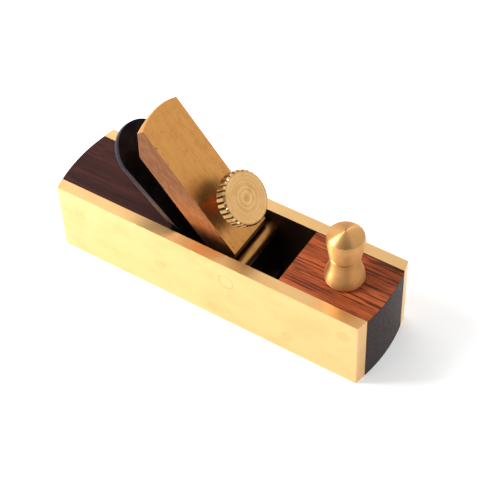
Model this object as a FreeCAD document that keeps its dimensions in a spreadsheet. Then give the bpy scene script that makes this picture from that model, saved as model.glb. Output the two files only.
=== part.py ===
"""Miniature block-body hand plane: brass side plates riveted to rosewood blocks, a bevel-down blade,
a solid brass lever cap held under a cross rod and clamped by a knurled thumbscrew, a turned front knob.

Millimetres and degrees. +X points to the toe, +Y to the plane's left, +Z up, and the origin is the
centre of the sole.
"""
import FreeCAD, Part
import os
import re

import Sketcher

# Every size that can be set by itself. The aliases are the words that the expressions below use.
SIZES = {
    # body
    "body_length": 89.0,
    "body_width": 24.0,
    "body_height": 20.8,
    "plate_thickness": 3.2,
    "end_radius": 45.0,
    "wood_setback": 0.15,
    # throat and bed
    "bed_angle": 43.5,
    "bed_foot": 10.6,
    "throat_foot": 15.0,
    "throat_top": 19.65,
    # rivets through plates and wood
    "rivet_diameter": 3.0,
    "toe_rivet_front_from_toe": 5.3,
    "toe_rivet_front_from_top": 5.0,
    "toe_rivet_rear_from_throat": 9.0,
    "toe_rivet_rear_up": 5.5,
    "heel_rivet_rear_from_heel": 8.1,
    "heel_rivet_rear_from_top": 6.4,
    "heel_rivet_front_from_foot": 23.3,
    "heel_rivet_front_up": 10.0,
    "mouth_rivet_from_foot": 8.1,
    "mouth_rivet_up": 3.2,
    # front knob and its stud
    "knob_from_toe": 12.0,
    "knob_height": 16.4,
    "knob_foot_radius": 4.43,
    "knob_base_radius": 4.86,
    "knob_base_height": 1.1,
    "knob_flare_radius": 4.2,
    "knob_flare_height": 3.8,
    "knob_waist_radius": 3.68,
    "knob_waist_height": 6.5,
    "knob_groove_radius": 3.82,
    "knob_groove_height": 8.15,
    "knob_groove_width": 0.5,
    "knob_groove_depth": 0.26,
    "knob_head_radius": 4.56,
    "knob_head_height": 13.2,
    "knob_rim_radius": 4.36,
    "knob_rim_height": 14.7,
    "stud_diameter": 4.0,
    "stud_in_knob": 5.0,
    "stud_in_wood": 9.0,
    # blade
    "blade_width": 16.0,
    "blade_length": 57.3,
    "blade_thickness": 1.8,
    "blade_bevel_angle": 25.0,
    "blade_edge_height": 0.1,
    # cross rod
    "rod_diameter": 4.0,
    "rod_x": 6.9,
    "rod_z": 15.2,
    # lever cap, measured from the rod's axis along and square to the cap's front face
    "cap_angle": 50.0,
    "cap_width": 13.8,
    "cap_face": 2.54,
    "cap_depth": 7.3,
    "cap_reach": 42.8,
    "cap_end_radius": 17.0,
    "cap_end_thickness": 0.95,
    "cap_end_bevel": 7.3,
    "cap_shoulder": 3.85,
    "cap_shoulder_bevel": 1.25,
    "tongue_reach": 11.8,
    "tongue_heel": 3.2,
    "tongue_taper": 7.4,
    "tongue_tip_thickness": 0.5,
    # thumbscrew
    "screw_reach": 14.44,
    "screw_diameter": 4.0,
    "screw_head_diameter": 13.6,
    "screw_head_thickness": 3.2,
    "screw_head_lift": 4.8,
    "screw_head_chamfer": 0.45,
    "screw_in_head": 2.3,
    "flute_count": 30,
    "flute_depth": 0.42,
    # clearances between pieces that move on each other
    "slide_gap": 0.02,
    "tip_gap": 0.03,
    "rod_gap": 0.03,
    "thread_gap": 0.05,
    "bore_gap": 0.03,
}

# The perpendicular distance from the bed to the rod's axis, and the angle between cap and blade.
ROD_OVER_BED = "(sin(bed_angle) * (rod_x - bed_foot) + cos(bed_angle) * rod_z)"
CAP_RISE = "(cap_angle - bed_angle)"
BLADE_FACE = "(slide_gap + blade_thickness)"
WOOD_HEIGHT = "(body_height - wood_setback)"
KNOB_X = "(body_length / 2 - knob_from_toe)"
# How far a pocket's profile runs past the faces that it cuts through.
OVERCUT = 2.0
# How far the arcs of the knob's outline stand out from their chords, as shares of those chords.
BASE_BULGE = 0.12
FLARE_BULGE = 0.04
WAIST_BULGE = -0.04
HEAD_BULGE = 0.02
# Marks an arc of a turned outline whose centre is on the axis that it turns about.
DOME = "dome"

doc = FreeCAD.newDocument("hand_plane")
sheet = doc.addObject("Spreadsheet::Sheet", "sizes")
for row, (alias, value) in enumerate(SIZES.items(), start=1):
    sheet.set("A%d" % row, alias)
    sheet.set("B%d" % row, str(value))
    sheet.setAlias("B%d" % row, alias)
doc.recompute()

ALIAS = re.compile(r"\b(%s)\b" % "|".join(SIZES))


def formula(text):
    """The words of an expression as references to the sheet."""
    return ALIAS.sub(r"sizes.\1", str(text))


def bind(thing, **properties):
    """Drive properties by expressions; a double underscore stands for a dot in a property's path."""
    for name, text in properties.items():
        thing.setExpression(name.replace("__", "."), formula(text))


def value_of(text):
    return float(sheet.evalExpression(formula(text)))


def new_body(name):
    body = doc.addObject("PartDesign::Body", name)
    body.Label = name
    return body


def sketch_on(body, role, name):
    """A sketch on one of the body's own origin planes. On XZ_Plane its axes are the body's X and Z."""
    sketch = body.newObject("Sketcher::SketchObject", name)
    plane = [part for part in body.Origin.OriginFeatures if part.Role == role][0]
    sketch.AttachmentSupport = [(plane, "")]
    sketch.MapMode = "FlatFace"
    return sketch


def fix(sketch, kind, *target_and_value):
    """Add one driving dimension whose value is an expression."""
    *target, text = target_and_value
    index = sketch.addConstraint(Sketcher.Constraint(kind, *target, value_of(text)))
    name = "%s_%d" % (kind.lower(), index)
    sketch.renameConstraint(index, name)
    sketch.setExpression("Constraints." + name, formula(text))


def fix_point(sketch, geometry, end, across, up):
    fix(sketch, "DistanceX", -1, 1, geometry, end, across)
    fix(sketch, "DistanceY", -1, 1, geometry, end, up)


def point(corner):
    return FreeCAD.Vector(value_of(corner[0]), value_of(corner[1]), 0)


def draw_polygon(sketch, corners):
    """A closed outline of straight lines. Each corner is a pair of expressions."""
    count = len(corners)
    for index, corner in enumerate(corners):
        following = corners[(index + 1) % count]
        sketch.addGeometry(Part.LineSegment(point(corner), point(following)))
    for index, corner in enumerate(corners):
        sketch.addConstraint(Sketcher.Constraint("Coincident", index, 2, (index + 1) % count, 1))
        fix_point(sketch, index, 1, *corner)


def on_dome(start, finish):
    """A point part of the way round the arc between two points whose centre is on the vertical axis."""
    middle = (finish.x ** 2 + finish.y ** 2 - start.x ** 2 - start.y ** 2) / (2 * (finish.y - start.y))
    centre = FreeCAD.Vector(0, middle, 0)
    halfway = (start + finish) / 2 - centre
    return centre + halfway * ((start - centre).Length / halfway.Length)


def draw_chain(sketch, stations):
    """A closed outline of lines and arcs. A station is (across, up) for a line from there to the next
    station, (across, up, through_across, through_up) for an arc that passes through that point, or
    (across, up, DOME) for an arc whose centre is on the vertical axis."""
    count = len(stations)
    for index, station in enumerate(stations):
        start = point(station)
        finish = point(stations[(index + 1) % count])
        if len(station) == 2:
            sketch.addGeometry(Part.LineSegment(start, finish))
        elif station[2] is DOME:
            sketch.addGeometry(Part.Arc(start, on_dome(start, finish), finish))
        else:
            sketch.addGeometry(Part.Arc(start, point(station[2:]), finish))
    for index, station in enumerate(stations):
        # Part.Arc always runs counter-clockwise, so its ends are matched by where they are.
        after = (index + 1) % count
        meet = point(stations[after])
        end_here = 1 if sketch.getPoint(index, 1).isEqual(meet, 1e-6) else 2
        end_there = 1 if sketch.getPoint(after, 1).isEqual(meet, 1e-6) else 2
        sketch.addConstraint(Sketcher.Constraint("Coincident", index, end_here, after, end_there))
        fix_point(sketch, after, end_there, *stations[after][:2])
        if len(station) == 3:
            sketch.addConstraint(Sketcher.Constraint("PointOnObject", index, 3, -2))
        if len(station) == 4:
            on_arc = sketch.addGeometry(Part.Point(point(station[2:])), True)
            fix_point(sketch, on_arc, 1, *station[2:])
            sketch.addConstraint(Sketcher.Constraint("PointOnObject", on_arc, 1, index))


def draw_plan(sketch, right, left, rear=None, front=None):
    """The plan outline of a body piece between two lengthwise lines. An end left as None is bowed:
    it lies on the arc that both ends of the body are ground to."""
    low = value_of(right)
    high = value_of(left)
    radius = value_of("end_radius")
    centre = value_of("body_length / 2 - end_radius")

    def end_x(way, given, across):
        if given is not None:
            return value_of(given)
        return way * (centre + (radius ** 2 - across ** 2) ** 0.5)

    corners = [
        FreeCAD.Vector(end_x(-1, rear, low), low, 0),
        FreeCAD.Vector(end_x(1, front, low), low, 0),
        FreeCAD.Vector(end_x(1, front, high), high, 0),
        FreeCAD.Vector(end_x(-1, rear, high), high, 0),
    ]
    middle = (low + high) / 2
    for index, given in enumerate([right, front, left, rear]):
        start = corners[index]
        finish = corners[(index + 1) % 4]
        lengthwise = index in (0, 2)
        if lengthwise or given is not None:
            sketch.addGeometry(Part.LineSegment(start, finish))
        else:
            way = 1 if index == 1 else -1
            through = FreeCAD.Vector(end_x(way, None, middle), middle, 0)
            sketch.addGeometry(Part.Arc(start, through, finish))
    for index, given in enumerate([right, front, left, rear]):
        sketch.addConstraint(Sketcher.Constraint("Coincident", index, 2, (index + 1) % 4, 1))
        if index in (0, 2):
            sketch.addConstraint(Sketcher.Constraint("Horizontal", index))
            fix(sketch, "DistanceY", -1, 1, index, 1, given)
        elif given is not None:
            sketch.addConstraint(Sketcher.Constraint("Vertical", index))
            fix(sketch, "DistanceX", -1, 1, index, 1, given)
        else:
            way = "" if index == 1 else "-"
            fix(sketch, "Radius", index, "end_radius")
            fix_point(sketch, index, 3, way + "(body_length / 2 - end_radius)", "0")


def draw_circles(sketch, circles):
    """Circles, each given as the expressions (across, up, diameter)."""
    for across, up, diameter in circles:
        centre = point((across, up))
        circle = Part.Circle(centre, FreeCAD.Vector(0, 0, 1), value_of(diameter) / 2)
        index = sketch.addGeometry(circle)
        fix_point(sketch, index, 3, across, up)
        fix(sketch, "Diameter", index, diameter)


def pad(body, sketch, name, length, symmetric=False):
    feature = body.newObject("PartDesign::Pad", name)
    feature.Profile = sketch
    feature.SideType = "Symmetric" if symmetric else "One side"
    bind(feature, Length=length)
    doc.recompute()
    return feature


def cut_through(body, sketch, name):
    """A pocket through the whole body, both ways from its sketch. It has to remove something."""
    before = body.Shape.Volume
    feature = body.newObject("PartDesign::Pocket", name)
    feature.Profile = sketch
    feature.Type = "ThroughAll"
    feature.SideType = "Symmetric"
    doc.recompute()
    if body.Shape.Volume >= before:
        raise RuntimeError("%s cuts nothing" % name)
    return feature


def turn(body, sketch, name):
    """A full revolution about the sketch's vertical axis."""
    feature = body.newObject("PartDesign::Revolution", name)
    feature.Profile = sketch
    feature.ReferenceAxis = (sketch, ["V_Axis"])
    feature.Angle = 360
    doc.recompute()
    return feature


def lean(body, angle, across, up):
    """Place a body with its own +X down a slope of that angle and its own +Z square to the slope."""
    body.Placement.Rotation = FreeCAD.Rotation(FreeCAD.Vector(0, 1, 0), value_of(angle))
    bind(body, Placement__Rotation__Angle=angle, Placement__Base__x=across, Placement__Base__z=up)


# ---- the body: two side plates, two wood blocks and the rivets ------------------------------------

# Each rivet's place along the body and up from the sole.
TOE_RIVETS = {
    "toe_rivet_front": (
        "body_length / 2 - toe_rivet_front_from_toe",
        "body_height - toe_rivet_front_from_top",
    ),
    "toe_rivet_rear": ("throat_foot + toe_rivet_rear_from_throat", "toe_rivet_rear_up"),
}
HEEL_RIVETS = {
    "heel_rivet_rear": (
        "heel_rivet_rear_from_heel - body_length / 2",
        "body_height - heel_rivet_rear_from_top",
    ),
    "heel_rivet_front": ("bed_foot - heel_rivet_front_from_foot", "heel_rivet_front_up"),
    "mouth_rivet": ("bed_foot - mouth_rivet_from_foot", "mouth_rivet_up"),
}
RIVETS = {**TOE_RIVETS, **HEEL_RIVETS}


def rivet_holes(rivets):
    return [(across, up, "rivet_diameter") for across, up in rivets.values()]


def side_plate(name, right, left):
    body = new_body(name)
    plan = sketch_on(body, "XY_Plane", name + "_plan")
    draw_plan(plan, right, left)
    pad(body, plan, name + "_plate", "body_height")
    drilled = sketch_on(body, "XZ_Plane", name + "_drilling")
    rod_hole = ("rod_x", "rod_z", "rod_diameter + 2 * rod_gap")
    draw_circles(drilled, rivet_holes(RIVETS) + [rod_hole])
    cut_through(body, drilled, name + "_holes")
    return body


def wood_block(name, rear, front, throat, rivets):
    """A block between the plates, cut back to its side of the throat."""
    body = new_body(name)
    plan = sketch_on(body, "XY_Plane", name + "_plan")
    draw_plan(plan, "plate_thickness - body_width / 2", "body_width / 2 - plate_thickness", rear, front)
    pad(body, plan, name + "_block", WOOD_HEIGHT)
    slope = sketch_on(body, "XZ_Plane", name + "_slope")
    draw_polygon(slope, throat)
    cut_through(body, slope, name + "_throat")
    drilled = sketch_on(body, "XZ_Plane", name + "_drilling")
    draw_circles(drilled, rivet_holes(rivets))
    cut_through(body, drilled, name + "_holes")
    return body


def toe_block():
    top = "(%s + %g)" % (WOOD_HEIGHT, OVERCUT)
    lean_back = "(throat_top - throat_foot) / %s" % WOOD_HEIGHT
    throat = [
        ("throat_foot", "0"),
        ("throat_foot + %s * %s" % (lean_back, top), top),
        ("throat_foot - %g" % OVERCUT, top),
        ("throat_foot - %g" % OVERCUT, "0"),
    ]
    body = wood_block("toe_block", "throat_foot", None, throat, TOE_RIVETS)
    mouth = sketch_on(body, "XZ_Plane", "stud_hole_section")
    draw_polygon(mouth, [
        (KNOB_X, WOOD_HEIGHT + " - stud_in_wood"),
        (KNOB_X + " + stud_diameter / 2", WOOD_HEIGHT + " - stud_in_wood"),
        (KNOB_X + " + stud_diameter / 2", top),
        (KNOB_X, top),
    ])
    before = body.Shape.Volume
    hole = body.newObject("PartDesign::Groove", "stud_hole")
    hole.Profile = mouth
    hole.ReferenceAxis = (mouth, ["Edge4"])
    hole.Angle = 360
    doc.recompute()
    if body.Shape.Volume >= before:
        raise RuntimeError("the stud hole cuts nothing")
    return body


def bed_block():
    top = "(%s + %g)" % (WOOD_HEIGHT, OVERCUT)
    throat = [
        ("bed_foot", "0"),
        ("bed_foot + %g" % OVERCUT, "0"),
        ("bed_foot + %g" % OVERCUT, top),
        ("bed_foot - %s / tan(bed_angle)" % top, top),
    ]
    return wood_block("bed_block", None, "bed_foot", throat, HEEL_RIVETS)


def crosswise_rod(name, diameter, across, up):
    """A plain round piece through the whole width of the body."""
    rod = doc.addObject("Part::Cylinder", name)
    rod.Label = name
    rod.Placement.Rotation = FreeCAD.Rotation(FreeCAD.Vector(1, 0, 0), -90)
    bind(rod, Radius=diameter + " / 2", Height="body_width", Placement__Base__x=across,
         Placement__Base__y="-body_width / 2", Placement__Base__z=up)
    return rod


# ---- the front knob -------------------------------------------------------------------------------

def bulging(first, second, share):
    """An arc station that starts at first and heads for second, pushed outward by a share of the chord."""
    (across, up), (next_across, next_up) = first, second
    middle_across = "(%s + %s) / 2 + %g * (%s - %s)" % (across, next_across, share, next_up, up)
    middle_up = "(%s + %s) / 2 + %g * (%s - %s)" % (up, next_up, share, across, next_across)
    return (across, up, middle_across, middle_up)


def front_knob():
    """A turned knob: a rounded base that flares up to a waist, a V groove, a head that widens upwards
    and a low domed top."""
    body = new_body("front_knob")
    bind(body, Placement__Base__x=KNOB_X, Placement__Base__z=WOOD_HEIGHT)
    section = sketch_on(body, "XZ_Plane", "front_knob_section")
    half_groove = "knob_groove_width / 2"
    foot = ("knob_foot_radius", "0")
    base = ("knob_base_radius", "knob_base_height")
    flare = ("knob_flare_radius", "knob_flare_height")
    waist = ("knob_waist_radius", "knob_waist_height")
    groove_foot = ("knob_groove_radius", "knob_groove_height - " + half_groove)
    groove_top = ("knob_groove_radius", "knob_groove_height + " + half_groove)
    head = ("knob_head_radius", "knob_head_height")
    rim = ("knob_rim_radius", "knob_rim_height")
    draw_chain(section, [
        ("0", "stud_in_knob"),
        ("stud_diameter / 2", "stud_in_knob"),
        ("stud_diameter / 2", "0"),
        bulging(foot, base, BASE_BULGE),
        bulging(base, flare, FLARE_BULGE),
        bulging(flare, waist, WAIST_BULGE),
        bulging(waist, groove_foot, WAIST_BULGE),
        groove_foot,
        ("knob_groove_radius - knob_groove_depth", "knob_groove_height"),
        bulging(groove_top, head, HEAD_BULGE),
        bulging(head, rim, HEAD_BULGE),
        rim + (DOME,),
        ("0", "knob_height"),
    ])
    turn(body, section, "front_knob_turning")
    return body


def knob_stud():
    """The threaded stud, at its major diameter, half in the knob and half in the toe."""
    stud = doc.addObject("Part::Cylinder", "knob_stud")
    stud.Label = "knob_stud"
    bind(stud, Radius="stud_diameter / 2", Height="stud_in_knob + stud_in_wood", Placement__Base__x=KNOB_X,
         Placement__Base__z=WOOD_HEIGHT + " - stud_in_wood")
    return stud


# ---- the blade ------------------------------------------------------------------------------------

def blade():
    """A flat blade, bevel down, with a half-round top end. Its own +X runs down the bed."""
    body = new_body("blade")
    lean(body, "bed_angle", "bed_foot + slide_gap / sin(bed_angle)", "0")
    edge = "((blade_thickness * cos(bed_angle) - blade_edge_height) / sin(bed_angle))"
    half = "blade_width / 2"
    shoulder = "%s - blade_length + %s" % (edge, half)
    plan = sketch_on(body, "XY_Plane", "blade_plan")
    draw_chain(plan, [
        (edge, "-" + half),
        (edge, half),
        (shoulder, half, edge + " - blade_length", "0"),
        (shoulder, "-" + half),
    ])
    pad(body, plan, "blade_plate", "blade_thickness")
    bevel = sketch_on(body, "XZ_Plane", "blade_bevel_section")
    run = "blade_thickness / tan(blade_bevel_angle)"
    drop = "%g * tan(blade_bevel_angle)" % OVERCUT
    draw_polygon(bevel, [
        ("%s - %s - %g" % (edge, run, OVERCUT), "-" + drop),
        ("%s + %g" % (edge, OVERCUT), "-" + drop),
        ("%s + %g" % (edge, OVERCUT), "blade_thickness + " + drop),
    ])
    cut_through(body, bevel, "blade_bevel")
    return body


# ---- the lever cap and its rod --------------------------------------------------------------------

def lever_cap():
    """A thick bar. Its tongue hooks under the rod and presses on the blade above the cutting edge.
    Its own origin is the rod's axis, +X runs down the slope and +Z is square to the front face."""
    body = new_body("lever_cap")
    lean(body, "cap_angle", "rod_x", "rod_z")
    underside = "(cap_face - cap_depth)"
    tongue_face = "-(rod_diameter / 2 + rod_gap)"
    contact = "(%s + tip_gap - %s + tongue_reach * sin(%s)) / cos(%s)" % (
        BLADE_FACE, ROD_OVER_BED, CAP_RISE, CAP_RISE)
    section = sketch_on(body, "XZ_Plane", "lever_cap_section")
    draw_polygon(section, [
        ("-cap_reach", "cap_face"),
        ("-cap_reach", "cap_face - cap_end_thickness"),
        ("-cap_reach + cap_end_bevel", underside),
        ("tongue_reach - tongue_heel", underside),
        ("tongue_reach", contact),
        ("tongue_reach", contact + " + tongue_tip_thickness"),
        ("tongue_reach - tongue_taper", tongue_face),
        ("cap_shoulder_bevel - cap_shoulder", tongue_face),
        ("cap_shoulder_bevel - cap_shoulder", "cap_face - cap_shoulder_bevel"),
        ("-cap_shoulder", "cap_face"),
    ])
    pad(body, section, "lever_cap_bar", "cap_width", symmetric=True)
    crown = sketch_on(body, "XY_Plane", "lever_cap_crown_plan")
    sagitta = "(cap_end_radius - sqrt(cap_end_radius ^ 2 - (cap_width / 2 + %g) ^ 2))" % OVERCUT
    side = "(cap_width / 2 + %g)" % OVERCUT
    draw_chain(crown, [
        ("-cap_reach - %g" % OVERCUT, "-" + side),
        ("-cap_reach + " + sagitta, "-" + side, "-cap_reach", "0"),
        ("-cap_reach + " + sagitta, side),
        ("-cap_reach - %g" % OVERCUT, side),
    ])
    cut_through(body, crown, "lever_cap_crown")
    tapped = sketch_on(body, "XY_Plane", "lever_cap_drilling")
    draw_circles(tapped, [("-screw_reach", "0", "screw_diameter + 2 * thread_gap")])
    cut_through(body, tapped, "lever_cap_screw_hole")
    return body


# ---- the thumbscrew -------------------------------------------------------------------------------

def place_on_screw_axis(body):
    """Put a body's origin where the screw's axis leaves the cap's front face, with +Z outward."""
    lean(body, "cap_angle", "rod_x - screw_reach * cos(cap_angle) + cap_face * sin(cap_angle)",
         "rod_z + screw_reach * sin(cap_angle) + cap_face * cos(cap_angle)")


def thumbscrew_shank():
    """The threaded shank, at its major diameter, with a round tip that bears on the blade."""
    body = new_body("thumbscrew_shank")
    place_on_screw_axis(body)
    radius = "screw_diameter / 2"
    tip_centre = "((%s + tip_gap + %s - %s - screw_reach * sin(%s)) / cos(%s) - cap_face)" % (
        BLADE_FACE, radius, ROD_OVER_BED, CAP_RISE, CAP_RISE)
    section = sketch_on(body, "XZ_Plane", "thumbscrew_shank_section")
    draw_chain(section, [
        ("0", tip_centre + " - " + radius, DOME),
        (radius, tip_centre),
        (radius, "screw_head_lift + screw_in_head"),
        ("0", "screw_head_lift + screw_in_head"),
    ])
    turn(body, section, "thumbscrew_shank_turning")
    return body


def thumbscrew_head():
    """The head: a disc with chamfered rims, a blind bore underneath and straight flutes all round."""
    body = new_body("thumbscrew_head")
    place_on_screw_axis(body)
    radius = "screw_head_diameter / 2"
    bore = "(screw_diameter / 2 + bore_gap)"
    top = "screw_head_lift + screw_head_thickness"
    section = sketch_on(body, "XZ_Plane", "thumbscrew_head_section")
    draw_polygon(section, [
        ("0", top),
        (radius + " - screw_head_chamfer", top),
        (radius, top + " - screw_head_chamfer"),
        (radius, "screw_head_lift + screw_head_chamfer"),
        (radius + " - screw_head_chamfer", "screw_head_lift"),
        (bore, "screw_head_lift"),
        (bore, "screw_head_lift + screw_in_head + bore_gap"),
        ("0", "screw_head_lift + screw_in_head + bore_gap"),
    ])
    turn(body, section, "thumbscrew_head_turning")
    groove = sketch_on(body, "XY_Plane", "thumbscrew_flute_section")
    # A V whose floor is flute_depth under the rim; its sides open at 45 degrees each.
    draw_polygon(groove, [
        (radius + " - flute_depth", "0"),
        (radius + " + flute_depth", "2 * flute_depth"),
        (radius + " + flute_depth", "-2 * flute_depth"),
    ])
    flute = cut_through(body, groove, "thumbscrew_flute")
    flutes = body.newObject("PartDesign::PolarPattern", "thumbscrew_flutes")
    flutes.Originals = [flute]
    flutes.Axis = (groove, ["N_Axis"])
    flutes.Angle = 360
    bind(flutes, Occurrences="flute_count")
    body.Tip = flutes
    doc.recompute()
    return body


subparts = [
    side_plate("right_side_plate", "-body_width / 2", "plate_thickness - body_width / 2"),
    side_plate("left_side_plate", "body_width / 2 - plate_thickness", "body_width / 2"),
    toe_block(),
    bed_block(),
]
for rivet, (across, up) in RIVETS.items():
    subparts.append(crosswise_rod(rivet, "rivet_diameter", across, up))
subparts += [
    crosswise_rod("cross_rod", "rod_diameter", "rod_x", "rod_z"),
    front_knob(),
    knob_stud(),
    blade(),
    lever_cap(),
    thumbscrew_shank(),
    thumbscrew_head(),
]
doc.recompute()

for thing in doc.Objects:
    if "Invalid" in thing.State or "Error" in thing.State:
        raise RuntimeError("%s did not compute: %s" % (thing.Label, thing.State))
for part in subparts:
    if part.Shape.isNull() or not part.Shape.isValid() or len(part.Shape.Solids) != 1:
        raise RuntimeError("%s is not one valid solid" % part.Label)

os.makedirs("parts", exist_ok=True)
for part in subparts:
    part.Shape.exportStep("parts/%s.step" % part.Label)
    print("%-20s %9.1f mm3" % (part.Label, part.Shape.Volume))
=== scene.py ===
"""A miniature hand plane: brass side plates riveted to rosewood blocks, a bevel-down blade, a thick
brass lever cap under a cross rod, a fluted thumbscrew and a turned front knob.

Sizes are in millimetres times MM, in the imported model's frame: +X to the toe, +Y to the plane's left,
+Z up, with the origin at the centre of the sole.
"""

import math

import bmesh
import bpy
from mathutils import Matrix, Vector


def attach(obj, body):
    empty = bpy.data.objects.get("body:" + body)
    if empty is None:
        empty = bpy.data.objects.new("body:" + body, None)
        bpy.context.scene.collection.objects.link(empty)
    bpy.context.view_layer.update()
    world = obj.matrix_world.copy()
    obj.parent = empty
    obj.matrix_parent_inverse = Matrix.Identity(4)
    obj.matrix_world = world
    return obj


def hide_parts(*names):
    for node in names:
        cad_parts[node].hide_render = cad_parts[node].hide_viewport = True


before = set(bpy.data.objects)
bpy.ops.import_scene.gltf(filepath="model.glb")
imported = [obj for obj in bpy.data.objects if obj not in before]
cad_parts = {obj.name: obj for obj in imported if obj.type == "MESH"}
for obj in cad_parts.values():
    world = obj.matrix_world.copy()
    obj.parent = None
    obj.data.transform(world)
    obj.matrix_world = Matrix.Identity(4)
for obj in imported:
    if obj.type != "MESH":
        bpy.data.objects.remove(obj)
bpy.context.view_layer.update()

MM = 0.001


# ---- table, light and camera ----------------------------------------------------------------------
# A white, faintly glowing table top under one tall soft light at the heel end of the plane's right side, in
# a pale room. The camera looks down on the toe end from the right.

TABLE_SIZE = 4.0
TABLE_WHITE = (0.88, 0.88, 0.88, 1)
TABLE_ROUGHNESS = 0.6
TABLE_GLOW = 0.42
# The room is pale grey, brighter behind the heel, and dark towards the viewer.
ROOM_PALE, ROOM_BRIGHT, ROOM_DARK = 0.74, 1.60, 0.08
BRIGHT_WAY = (-0.75, 0.40, 0.53)
DARK_WAY = (0.36, -0.60, 0.71)
# Cosines of the angles from its way at which a patch starts and is full.
BRIGHT_SPREAD, DARK_SPREAD = (0.85, 0.98), (0.78, 0.93)
CAMERA_AT = (0.140618, -0.197711, 0.289745)
CAMERA_AZIMUTH, CAMERA_ELEVATION, CAMERA_ROLL = 34.236, 49.007, -2.288
CAMERA_LENS = 107.91
# Each light: name, place, the point that it faces, width, height and power.
SOFT_LIGHTS = [
    ("window_light", (-0.17, -0.12, 0.19), (0.0, -0.02, 0.0), 0.08, 0.20, 0.78),
]


def put_down():
    """Leaves edit mode with nothing selected, so that an operator acts on nothing by accident."""
    if bpy.context.object is not None and bpy.context.object.mode != "OBJECT":
        bpy.ops.object.mode_set(mode="OBJECT")
    bpy.ops.object.select_all(action="DESELECT")


def add(primitive, name, **settings):
    """A primitive of its own name, as the only thing selected."""
    put_down()
    getattr(bpy.ops.mesh, "primitive_%s_add" % primitive)(**settings)
    piece = bpy.context.object
    piece.name = piece.data.name = name
    bpy.ops.object.transform_apply(location=True, rotation=True, scale=True)
    return piece


table_top = add("plane", "table_top", size=TABLE_SIZE)
table_paint = bpy.data.materials.new("table_white")
table_paint.use_nodes = True
table_paint.node_tree.nodes["Principled BSDF"].inputs["Base Color"].default_value = TABLE_WHITE
table_paint.node_tree.nodes["Principled BSDF"].inputs["Roughness"].default_value = TABLE_ROUGHNESS
table_paint.node_tree.nodes["Principled BSDF"].inputs["Emission Color"].default_value = TABLE_WHITE
table_paint.node_tree.nodes["Principled BSDF"].inputs["Emission Strength"].default_value = TABLE_GLOW
table_top.data.materials.append(table_paint)

for name, place, target, width, height, power in SOFT_LIGHTS:
    light = bpy.data.lights.new(name, "AREA")
    light.shape = "RECTANGLE"
    light.size, light.size_y = width, height
    light.energy = power
    lamp = bpy.data.objects.new(name, light)
    bpy.context.scene.collection.objects.link(lamp)
    lamp.location = place
    lamp.visible_camera = False
    lamp.rotation_euler = (Vector(place) - Vector(target)).to_track_quat("Z", "Y").to_euler()

room = bpy.data.worlds.new("room")
room.use_nodes = True
walls = room.node_tree
walls.nodes["Background"].inputs["Color"].default_value = (1, 1, 1, 1)
level = walls.nodes["Background"].inputs["Strength"]
way = walls.nodes.new("ShaderNodeTexCoord").outputs["Generated"]
for toward, (start, full), value in ((BRIGHT_WAY, BRIGHT_SPREAD, ROOM_BRIGHT - ROOM_PALE),
                                     (DARK_WAY, DARK_SPREAD, ROOM_DARK - ROOM_PALE)):
    along = walls.nodes.new("ShaderNodeVectorMath")
    along.operation = "DOT_PRODUCT"
    along.inputs[1].default_value = Vector(toward).normalized()
    walls.links.new(way, along.inputs[0])
    patch = walls.nodes.new("ShaderNodeMapRange")
    patch.interpolation_type = "SMOOTHSTEP"
    patch.inputs["From Min"].default_value = start
    patch.inputs["From Max"].default_value = full
    patch.inputs["To Max"].default_value = value
    walls.links.new(along.outputs["Value"], patch.inputs["Value"])
    total = walls.nodes.new("ShaderNodeMath")
    total.inputs[1].default_value = ROOM_PALE
    if level.is_linked:
        walls.links.new(level.links[0].from_socket, total.inputs[1])
    walls.links.new(patch.outputs["Result"], total.inputs[0])
    walls.links.new(total.outputs["Value"], level)
bpy.context.scene.world = room
bpy.context.scene.view_settings.view_transform = "Standard"

camera = bpy.data.objects.new("camera", bpy.data.cameras.new("camera"))
bpy.context.scene.collection.objects.link(camera)
camera.data.lens = CAMERA_LENS
camera.data.clip_start = 0.01
camera.matrix_world = (
    Matrix.Translation(CAMERA_AT)
    @ Matrix.Rotation(math.radians(CAMERA_AZIMUTH), 4, "Z")
    @ Matrix.Rotation(math.radians(90 - CAMERA_ELEVATION), 4, "X")
    @ Matrix.Rotation(math.radians(CAMERA_ROLL), 4, "Z"))
bpy.context.scene.camera = camera


# ---- brass side plates ----------------------------------------------------------------------------
# Two sawn brass plates with bowed ends, ground on the outside with a belt along their length, their
# edges just broken with a file. Rivets and the rod pass through them. The file that opened the mouth
# slipped a few times on the right plate's inner edge.

BODY_LENGTH = 89.0 * MM
BODY_WIDTH = 24.0 * MM
BODY_HEIGHT = 20.8 * MM
PLATE_THICKNESS = 3.2 * MM
END_RADIUS = 45.0 * MM
END_FACETS = 720
PLATE_EDGE = 0.16 * MM
# How near points are joined, and how near a plane they count as on it.
WELD, ON_PLANE = 1e-6, 1e-7
RIVET_DIAMETER = 3.0 * MM
ROD_DIAMETER = 4.0 * MM
ROD_GAP = 0.03 * MM
ROD_X, ROD_Z = 6.9 * MM, 15.2 * MM
RIVETS = {
    "toe_rivet_front": (39.2 * MM, 15.8 * MM),
    "toe_rivet_rear": (24.0 * MM, 5.5 * MM),
    "heel_rivet_rear": (-36.4 * MM, 14.4 * MM),
    "heel_rivet_front": (-12.7 * MM, 10.0 * MM),
    "mouth_rivet": (2.5 * MM, 3.2 * MM),
}
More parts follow.
